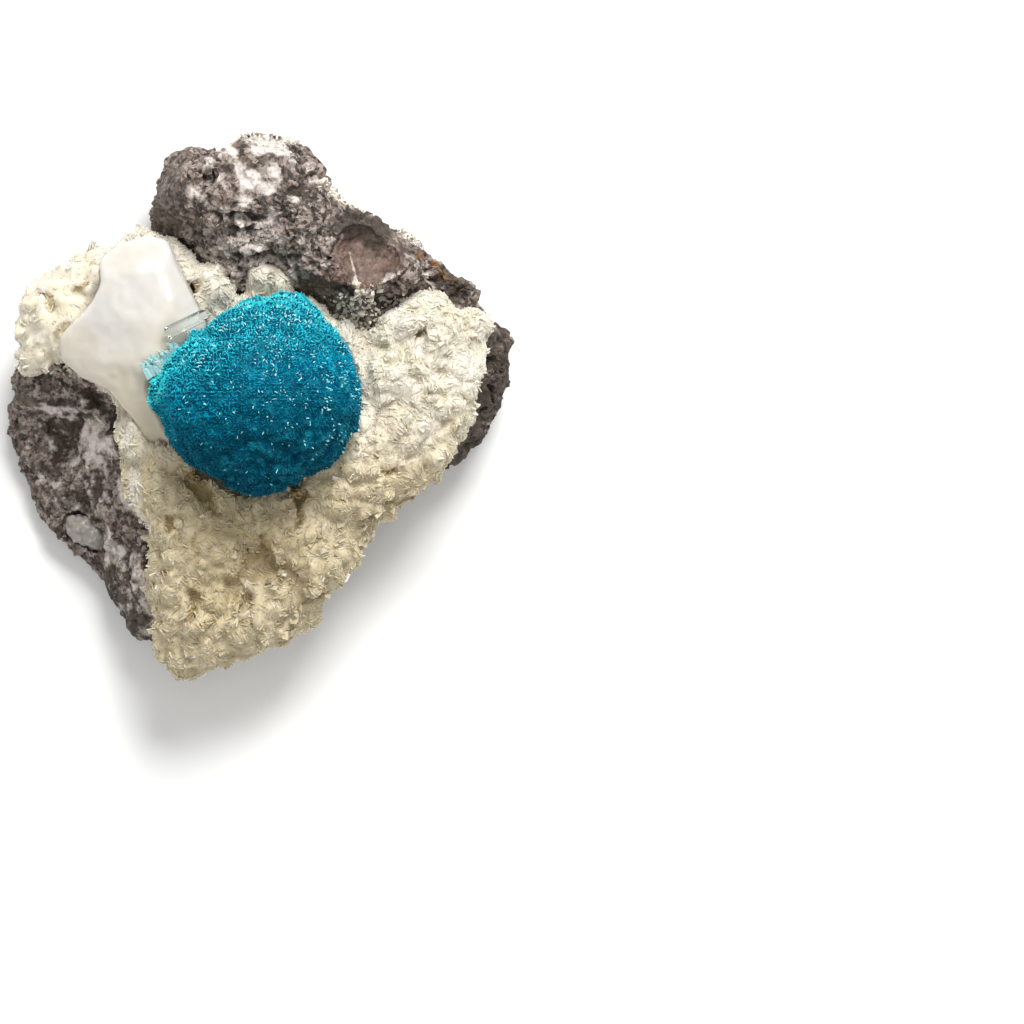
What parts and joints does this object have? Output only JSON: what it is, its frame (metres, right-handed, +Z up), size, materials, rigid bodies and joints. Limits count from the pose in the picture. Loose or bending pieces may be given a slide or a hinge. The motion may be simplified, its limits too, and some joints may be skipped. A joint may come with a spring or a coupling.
{
  "type": "cavansite specimen",
  "caption": "Blue ball of radiating cavansite blades on a cream crust of zeolite crystals, with a milky crystal beside it, on a broken piece of dark vesicular basalt.",
  "frame": {"origin": "middle of the specimen's bounding box, on the flat underside that it lies on", "axes": "+Z up, away from the surface that the specimen lies on; +X across the specimen towards the bare right edge; +Y along it towards the raised basalt block"},
  "size_m": [0.0424, 0.0456, 0.0237],
  "materials": {
    "basalt": "rough broken",
    "zeolite_crust": "satin crystalline",
    "milky_crystal": "smooth translucent",
    "cavansite": "velvety sparkling",
    "clear_crystal": "clear smooth",
    "pale_cavansite": "glassy",
    "amygdule": "satin"
  },
  "bodies": {
    "root": {"basalt_matrix": "basalt", "heulandite_druse": "zeolite_crust", "milky_crystal": "milky_crystal", "cavansite_ball": "cavansite", "clear_prism": "clear_crystal", "pale_tuft": "pale_cavansite", "amygdule": "amygdule"}
  },
  "joints": []
}
